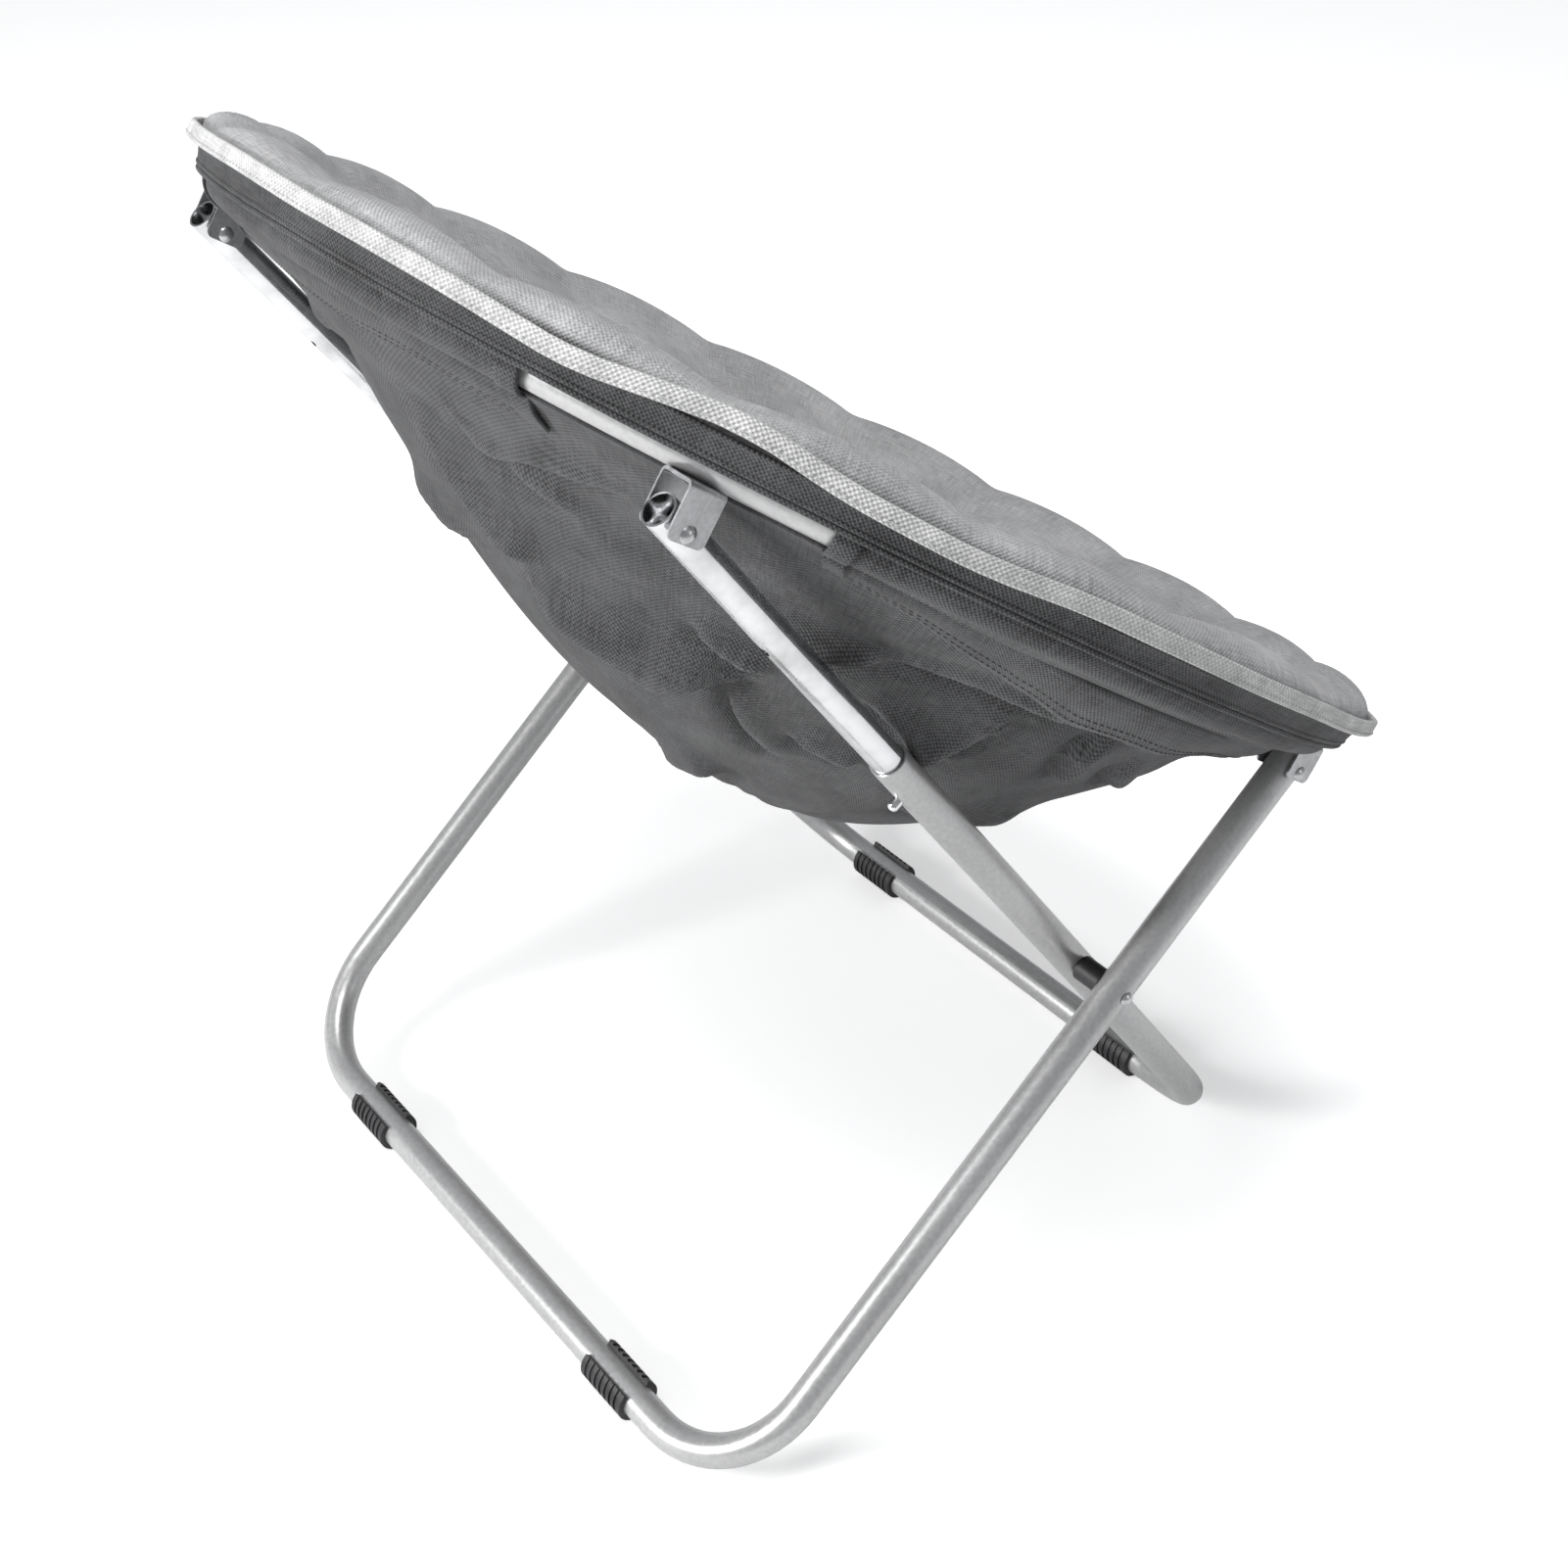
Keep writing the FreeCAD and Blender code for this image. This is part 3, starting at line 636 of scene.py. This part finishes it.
def bowlSurface(angle, level, out=0.0):
    # The cloth at any angle and level, or a little outside it. Its folds and its ripple die out
    # towards the rim and the deepest point.
    base = onBowl(angle, level)
    drop = np.clip((0.955 - level) / 0.05, 0, 1) * np.clip(level / 0.2, 0, 1)
    calm = np.clip((0.95 - level) / 0.1, 0, 1) * np.clip(level / 0.3, 0, 1)
    waist = np.exp(-((level - bowlSettings["waistLevel"]) / bowlSettings["waistWide"]) ** 2)
    shift = foldShift(angle, level, base) * drop
    shift = shift + wave(angle + 40 * level, 4, (7, 11, 17, 23), bowlSettings["ripple"]) * calm
    shift = shift - bowlSettings["waist"] * waist
    shift = np.maximum(shift, bowlSettings["deepest"]) + out
    inner = onBowl(angle, level - 0.002)
    beside = onBowl(angle + 0.4, level)
    normal = np.cross(beside - base, inner - base)
    normal /= np.linalg.norm(normal, axis=-1, keepdims=True)
    fromMiddle = base - np.array(bowlSettings["middle"])
    inward = (normal * fromMiddle).sum(axis=-1, keepdims=True) < 0
    return base + np.where(inward, -normal, normal) * shift[..., None]


def makeBowl():
    around = np.linspace(0, 360, bowlSettings["around"], endpoint=False)
    levels = [np.linspace(*bowlSettings[part]) for part in ("rimLevels", "lowerLevels")]
    angle, level = np.meshgrid(around, np.concatenate(levels), indexing="ij")
    piece = makeGrid("bowl_cloth", toWorld(bowlSurface(angle, level)), closedAlong=True, capEnd=True)
    thicken(piece, bowlSettings["thickness"], -1)
    dress(piece, "dark")
    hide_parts("seat_shell")
    flattenWithFold(piece)
    print("bowl cloth made")


makeBowl()

# cushion, in metres: its rim's points are (distance from the ring's axis, height)
cushionSettings = {
    "channels": 18,
    "perChannel": 12,
    "sectionPoints": 104,
    "roundness": 0.75,
    "outerLevels": (0.05, 0.2, 0.38, 0.56, 0.72, 0.84, 0.93),
    "outerInset": 0.0155,
    "rim": [(0.3400, -0.002), (0.3410, 0.010), (0.3500, 0.0142), (0.3740, 0.0142), (0.3845, 0.0180)],
    "insideLevels": (0.92, 0.84, 0.72, 0.58, 0.42, 0.26, 0.12, 0.04),
    "insideLift": 0.0296,
    "seamSink": 0.0050,
    "seamDraw": 0.35,  # the crown also draws inwards at a seam, by this share of its sink
    "puff": 0.010,
    "seamPuff": 0.2,  # rows with less puff than this are seams, and are held
    "outerHeld": 56,
    "poleHeld": 4,
}

# The crown's points: distance from the ring's axis, height, how much higher it is between two seams
# and its share of the seams' sink
cushionCrown = [
    (0.3838, 0.0255, 0.0, 0.3),
    (0.3750, 0.0320, 0.0006, 1),
    (0.3600, 0.0345, 0.0012, 1),
    (0.3470, 0.0318, 0.0012, 1),
    (0.3350, 0.0215, 0.0, 1),
]
fillingSettings = {
    "pressure": 4.0, "cap": 0.0035, "frames": 20, "quality": 4, "mass": 0.3,
    "tension": 18, "compression": 12, "shear": 8, "bending": 0.4,
}


def cushionSection(angle, puff):
    # Along the underside on the bowl, round the rim, over the crown and down the inside
    angle = np.array(angle)
    sink = cushionSettings["seamSink"] * (1 - puff)
    draw = cushionSettings["seamDraw"] * sink
    lift = cushionSettings["insideLift"] + cushionSettings["puff"] * (puff - 0.5)
    points = []
    for level in cushionSettings["outerLevels"]:
        points.append(onBowl(angle, np.array(level), cushionSettings["outerInset"]))
    for radius, height in cushionSettings["rim"]:
        points.append(aroundRing(angle, radius, height))
    for radius, height, rise, share in cushionCrown:
        points.append(aroundRing(angle, radius - draw, height + rise * puff - share * sink))
    for level in cushionSettings["insideLevels"]:
        inset = lift if level > 0.2 else cushionSettings["insideLift"]
        points.append(onBowl(angle, np.array(level), inset))
    return smoothLine(np.array(points), cushionSettings["sectionPoints"])


def cushionGrid():
    channel = 360 / cushionSettings["channels"]
    rows = cushionSettings["channels"] * cushionSettings["perChannel"]
    sections = []
    seams = []
    for angle in np.linspace(0, 360, rows, endpoint=False):
        share = (angle / channel) % 1.0
        puff = math.sin(math.pi * share) ** cushionSettings["roundness"] if 0 < share < 1 else 0.0
        sections.append(cushionSection(angle, puff))
        seams.append(puff < cushionSettings["seamPuff"])
    return np.array(sections), np.array(seams)


def addFilling(piece):
    cloth = piece.modifiers.new("filling", "CLOTH")
    cloth.settings.quality = fillingSettings["quality"]
    cloth.settings.mass = fillingSettings["mass"]
    cloth.settings.tension_stiffness = fillingSettings["tension"]
    cloth.settings.compression_stiffness = fillingSettings["compression"]
    cloth.settings.shear_stiffness = fillingSettings["shear"]
    cloth.settings.bending_stiffness = fillingSettings["bending"]
    cloth.settings.use_pressure = True
    cloth.settings.uniform_pressure_force = fillingSettings["pressure"]
    cloth.settings.vertex_group_mass = "hold"
    cloth.settings.effector_weights.gravity = 0
    cloth.collision_settings.use_collision = False
    cloth.point_cache.frame_start = 1
    cloth.point_cache.frame_end = fillingSettings["frames"]


def fillCushion(piece):
    # The pad fills out between its seams like stuffed cloth
    start = np.array([v.co[:] for v in piece.data.vertices])
    group = piece.vertex_groups.new(name="hold")
    held = [k for k, value in enumerate(piece.data.attributes["hold"].data) if value.value > 0.5]
    group.add(held, 1.0, "REPLACE")
    addFilling(piece)
    scene = bpy.context.scene
    for number in range(1, fillingSettings["frames"] + 1):
        scene.frame_set(number)
    graph = bpy.context.evaluated_depsgraph_get()
    filled = piece.evaluated_get(graph).to_mesh()
    step = np.array([v.co[:] for v in filled.vertices]) - start
    piece.modifiers.clear()
    scene.frame_set(1)
    length = np.linalg.norm(step, axis=1, keepdims=True)
    step = step * np.minimum(1, fillingSettings["cap"] / np.maximum(length, 1e-9))
    for vert, place in zip(piece.data.vertices, start + step):
        vert.co = place
    print("cushion filled, largest move", round(float(length.max()) * 1000, 1), "mm")


def makeCushion():
    grid, seams = cushionGrid()
    hold = np.zeros(grid.shape[:2], bool)
    hold[seams] = True
    hold[:, :cushionSettings["outerHeld"]] = True
    hold[:, -cushionSettings["poleHeld"]:] = True
    places = toWorld(grid)
    piece = makeGrid("seat_cushion", places, closedAlong=True, capStart=True, capEnd=True, hold=hold)
    fillCushion(piece)
    fine = piece.modifiers.new("fine", "SUBSURF")
    fine.levels = 1
    fine.render_levels = 1
    settle(piece)
    dress(piece, "pad")
    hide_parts("cushion")
    flattenWithFold(piece)
    print("cushion made")


makeCushion()

# edge binding
bindingSettings = {
    "wide": 0.0032, "tall": 0.0098, "rounding": 0.0014, "out": 0.0298, "ripple": 0.0009,
    "heightRipple": 0.0006, "around": 900,
}

# How high the binding's middle stands over the ring's plane, as (angle, millimetres)
edgeHeights = [
    (-180, 17.5), (-150, 18), (-110, 17), (-85, 19), (-70, 19.3), (-61, 14.4), (-50, 17.2),
    (-43, 23.4), (-38, 20.7), (-30, 13), (-20, 16.5), (-9, 17.5), (0, 18), (30, 17), (60, 19),
    (84, 16), (102, 16.5), (117, 16), (142, 16), (164, 16.5), (180, 17.5),
]


def edgeHeight(angle):
    # The mean of the heights here and two degrees to either side
    angle = np.asarray(angle, float)
    beside = between(edgeHeights, angle - 2) + between(edgeHeights, angle + 2)
    height = (between(edgeHeights, angle) + beside) / 3000
    return height + wave(angle, 9, (5, 9, 14, 21), bindingSettings["heightRipple"])


def bindingRadius(angle):
    return ringRadius + bindingSettings["out"] + wave(angle, 3, (6, 13, 22), bindingSettings["ripple"])


def roundedStrip(wide, tall, rounding, steps=4):
    section = []
    for cx, cy, first in ((1, 1, 0), (-1, 1, 90), (-1, -1, 180), (1, -1, 270)):
        for k in range(steps + 1):
            turn = math.radians(first + 90 * k / steps)
            x = cx * (wide / 2 - rounding) + rounding * math.cos(turn)
            y = cy * (tall / 2 - rounding) + rounding * math.sin(turn)
            section.append((x, y))
    return section


def makeBinding():
    section = roundedStrip(bindingSettings["wide"], bindingSettings["tall"], bindingSettings["rounding"])
    around = np.linspace(0, 360, bindingSettings["around"], endpoint=False)
    piece = sweep("edge_tape", section, around, bindingRadius(around), edgeHeight(around))
    dress(piece, "tape")
    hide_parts("edge_binding")
    print("binding made")


# band below the cushion's edge
bandSettings = {
    "bottom": 0.0035, "top": 0.0142, "out": 0.0195, "bow": 0.0012, "flare": 0.0062,
    "ripple": 0.0010, "thickness": 0.0014, "around": 720, "rows": 9,
}


def bandRipple(angle):
    return wave(angle, 5, (8, 15, 27), bandSettings["ripple"])


def makeBand():
    around = np.linspace(0, 360, bandSettings["around"], endpoint=False)
    rows = []
    for share in np.linspace(0, 1, bandSettings["rows"]):
        height = bandSettings["bottom"] + (bandSettings["top"] - bandSettings["bottom"]) * share
        radius = ringRadius + bandSettings["out"] + bandSettings["bow"] * math.sin(math.pi * share)
        radius = radius + bandRipple(around) * (1 - share) + bandSettings["flare"] * share ** 3
        rows.append(aroundRing(around, radius, np.full(around.shape, height)))
    piece = makeGrid("cushion_skirt", toWorld(np.stack(rows, axis=1)), closedAlong=True)
    thicken(piece, bandSettings["thickness"], 0)
    dress(piece, "dark")
    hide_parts("cushion_band")
    print("band made")


# two rows of piping under the band
pipingSettings = {
    "size": 0.0017, "sides": 12, "around": 720, "ripple": 0.0004,
    "piping_upper": {"out": 0.0190, "height": 0.0026},
    "piping_lower": {"out": 0.0178, "height": -0.0006},
}


def makePiping(name):
    size = pipingSettings["size"]
    turns = [math.radians(360 * k / pipingSettings["sides"]) for k in range(pipingSettings["sides"])]
    section = [(size * math.cos(turn), size * math.sin(turn)) for turn in turns]
    around = np.linspace(0, 360, pipingSettings["around"], endpoint=False)
    radius = ringRadius + pipingSettings[name]["out"] + bandRipple(around)
    height = pipingSettings[name]["height"] + wave(around, 6, (9, 16), pipingSettings["ripple"])
    piece = sweep(name, section, around, radius, height)
    dress(piece, "dark")
    print(name, "made")
    return piece


makeBinding()
makeBand()
upperPiping = makePiping("piping_upper")
makePiping("piping_lower")
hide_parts("band_piping")

# sleeve on the ring in two lengths, open at the rear brackets, with the pocket strip below it
sleeveSettings = {
    "radius": 0.0130,
    "fromTurn": 160,  # degrees round the tube, from its inner top
    "toTurn": -118,  # round the outside to below it
    "points": 26,
    "perDegree": 2.4,
    "ripple": 0.0005,
    "thickness": 0.0015,
    "back": (-26, 26),
    "round": (51.5, 308.5),
}
stripSettings = {"points": 14, "out": 0.0022, "bow": 0.0035, "ripple": 0.0030, "above": (0, -0.05, 0.10)}
slitSettings = {"x": 0.275, "y": -0.2327, "halfX": 0.0155, "halfY": 0.0150, "top": -0.002}

# The pocket strip is sewn to the bowl along this line, as (angle, level)
stitchLevels = [
    (-180, 0.865), (-150, 0.86), (-125, 0.862), (-110, 0.862), (-90, 0.856), (-80, 0.846),
    (-72, 0.857), (-60, 0.915), (-52, 0.935), (-26, 0.91), (0, 0.90), (26, 0.91), (52, 0.935),
    (60, 0.915), (72, 0.857), (90, 0.856), (110, 0.862), (150, 0.86), (180, 0.865),
]


def sleeveSection(angle, outset=0.0):
    # Over the tube from its inner top, and round the outside to below it
    degrees = np.linspace(sleeveSettings["fromTurn"], sleeveSettings["toTurn"], sleeveSettings["points"])
    turns = np.radians(degrees)
    size = sleeveSettings["radius"] + outset
    radius = ringRadius + size * np.cos(turns)
    return np.array([aroundRing(angle, r, h) for r, h in zip(radius, size * np.sin(turns))])


def bowlNormalOut(point):
    away = point - np.array(stripSettings["above"])
    return away / np.linalg.norm(away)


def stripSection(angle):
    # From the sleeve's lower edge down on the bowl to the stitches, hanging out a little between
    tube = sleeveSection(angle)
    spot = np.array([angle])
    level = np.array([float(between(stitchLevels, angle))])
    first = tube[-1]
    last = bowlSurface(spot, level, stripSettings["out"])[0]
    bow = stripSettings["bow"] + float(wave(spot, 12, (7, 13, 19), stripSettings["ripple"])[0])
    middle = (first + last) / 2 + bowlNormalOut((first + last) / 2) * bow
    return smoothLine([tube[-3], first, middle, last], stripSettings["points"])[3:]


def openSlits(piece):
    # The cloth is slit where a front bracket comes through it
    work = bmesh.new()
    work.from_mesh(piece.data)
    gone = []
    for face in work.faces:
        place = ringInverse @ face.calc_center_median()
        besideX = abs(abs(place.x) - slitSettings["x"]) < slitSettings["halfX"]
        besideY = abs(place.y - slitSettings["y"]) < slitSettings["halfY"]
        if besideX and besideY and place.z < slitSettings["top"]:
            gone.append(face)
    bmesh.ops.delete(work, geom=gone, context="FACES")
    work.to_mesh(piece.data)
    work.free()


def sleevePiece(name, grid):
    piece = makeGrid(name, toWorld(grid))
    openSlits(piece)
    thicken(piece, sleeveSettings["thickness"], 0)
    dress(piece, "dark")
    return piece


def makeSleeve(name, part, node):
    start, end = sleeveSettings[part]
    around = np.linspace(start, end, int((end - start) * sleeveSettings["perDegree"]))
    swell = wave(around, 8, (11, 19, 29), sleeveSettings["ripple"])
    piece = sleevePiece(name, np.array([sleeveSection(a, s) for a, s in zip(around, swell)]))
    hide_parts(node)
    strip = np.array([stripSection(a) for a in around])
    flap = sleevePiece(name + "_strip", strip)
    flattenWithFold(flap)
    print(name, "made")


makeSleeve("sleeve_back_cloth", "back", "sleeve_rear")
makeSleeve("sleeve_round_cloth", "round", "sleeve_front")

# hems: the cloth is turned over at the four ends of the sleeves; the overhang and the width are degrees
hemSettings = {
    "overhang": 0.15, "wide": 1.9, "rows": 8, "out": 0.0016, "stripOut": 0.0015, "thickness": 0.0014,
}


def joined(name, pieces):
    work = bmesh.new()
    for piece in pieces:
        work.from_mesh(piece.data)
        bpy.data.objects.remove(piece)
    mesh = bpy.data.meshes.new(name)
    work.to_mesh(mesh)
    work.free()
    result = bpy.data.objects.new(name, mesh)
    bpy.context.collection.objects.link(result)
    return result


def makeHems():
    backStart, backEnd = sleeveSettings["back"]
    roundStart, roundEnd = sleeveSettings["round"]
    tubes = []
    strips = []
    for end, way in ((backEnd, -1), (backStart, 1), (roundStart, 1), (roundEnd, -1)):
        degrees = np.linspace(-hemSettings["overhang"], hemSettings["wide"], hemSettings["rows"])
        around = np.sort(end + way * degrees)
        tube = np.array([sleeveSection(a, hemSettings["out"]) for a in around])
        strip = np.array([stripSection(a) for a in around])
        outward = np.array([[bowlNormalOut(p) for p in row] for row in strip])
        for found, grid in ((tubes, tube), (strips, strip + outward * hemSettings["stripOut"])):
            piece = makeGrid("hem", toWorld(grid))
            thicken(piece, hemSettings["thickness"], 0)
            found.append(piece)
    for name, found, wide in (("sleeve_hems", tubes, 0.063), ("strip_hems", strips, 0.036)):
        piece = joined(name, found)
        dress(piece, "dark")
        if name == "strip_hems":
            flattenWithFold(piece)
    print("hems made")


makeHems()

# stitches
stitchShape = {
    "sides": 6,
    "rings": ((0.0, 0.35), (0.25, 0.95), (0.5, 1.0), (0.75, 0.95), (1.0, 0.35)),  # (share, size)
    "rise": 0.9,
    "sink": 0.1,
    "uvStep": 0.0003,
}
stripStitchSettings = {
    "length": 0.0034, "gap": 0.0016, "radius": 0.00042, "out": 0.0011,
    "runs": ((-26, 26), (51.5, 118), (131, 229), (242, 308.5)),  # none behind the front brackets
    "rowsFromEdge": (2, 4),
}
tapeStitchSettings = {
    "length": 0.0030, "gap": 0.0014, "radius": 0.00038, "out": 0.0017, "below": 0.0026, "points": 900,
}


def addStitch(work, layer, a, b, normal, radius, at):
    # One short rounded thread from a to b
    sides = stitchShape["sides"]
    side = (b - a).normalized().cross(normal)
    rings = []
    for share, size in stitchShape["rings"]:
        rise = stitchShape["rise"] * math.sin(math.pi * share) - stitchShape["sink"]
        middle = a.lerp(b, share) + normal * radius * rise
        ring = []
        for k in range(sides):
            turn = k * math.pi / (sides // 2)
            spoke = side * math.cos(turn) + normal * math.sin(turn)
            ring.append(work.verts.new(middle + spoke * radius * size))
        rings.append(ring)
    for one, two in zip(rings, rings[1:]):
        for k in range(sides):
            after = (k + 1) % sides
            face = work.faces.new((one[k], one[after], two[after], two[k]))
            for corner in face.loops:
                corner[layer].uv = (at + k * stitchShape["uvStep"], k * stitchShape["uvStep"])
    work.faces.new(rings[0][::-1])
    work.faces.new(rings[-1])


def makeStitches(name, lines, stitch, kind):
    # The threads lie one after another on each line
    work = bmesh.new()
    layer = work.loops.layers.uv.new("cloth")
    for line, outward in lines:
        run = lengthAlong(line)
        at = 0.0
        while at + stitch["length"] < run[-1]:
            a = Vector([np.interp(at, run, line[:, k]) for k in range(3)])
            b = Vector([np.interp(at + stitch["length"], run, line[:, k]) for k in range(3)])
            normal = Vector([np.interp(at, run, outward[:, k]) for k in range(3)]).normalized()
            addStitch(work, layer, a, b, normal, stitch["radius"], at)
            at += stitch["length"] + stitch["gap"]
    bmesh.ops.recalc_face_normals(work, faces=work.faces)
    mesh = bpy.data.meshes.new(name)
    work.to_mesh(mesh)
    work.free()
    mesh.shade_smooth()
    piece = bpy.data.objects.new(name, mesh)
    bpy.context.collection.objects.link(piece)
    dress(piece, kind)
    return piece


def stripStitches():
    lines = []
    for start, end in stripStitchSettings["runs"]:
        around = np.linspace(start + 1, end - 1, int((end - start) * 2))
        for back in stripStitchSettings["rowsFromEdge"]:
            rows = np.array([stripSection(a)[-back] for a in around])
            normals = np.array([bowlNormalOut(p) for p in rows])
            lines.append((toWorld(rows + normals * stripStitchSettings["out"]), turned(normals)))
    piece = makeStitches("strip_stitches", lines, stripStitchSettings, "thread")
    flattenWithFold(piece)


def tapeStitches():
    around = np.linspace(0, 360, tapeStitchSettings["points"])
    radius = bindingRadius(around) + tapeStitchSettings["out"]
    rows = aroundRing(around, radius, edgeHeight(around) - tapeStitchSettings["below"])
    normals = aroundRing(around, np.ones(around.shape), np.zeros(around.shape))
    makeStitches("tape_stitches", [(toWorld(rows), turned(normals))], tapeStitchSettings, "pale_thread")


stripStitches()
tapeStitches()
print("stitches made")
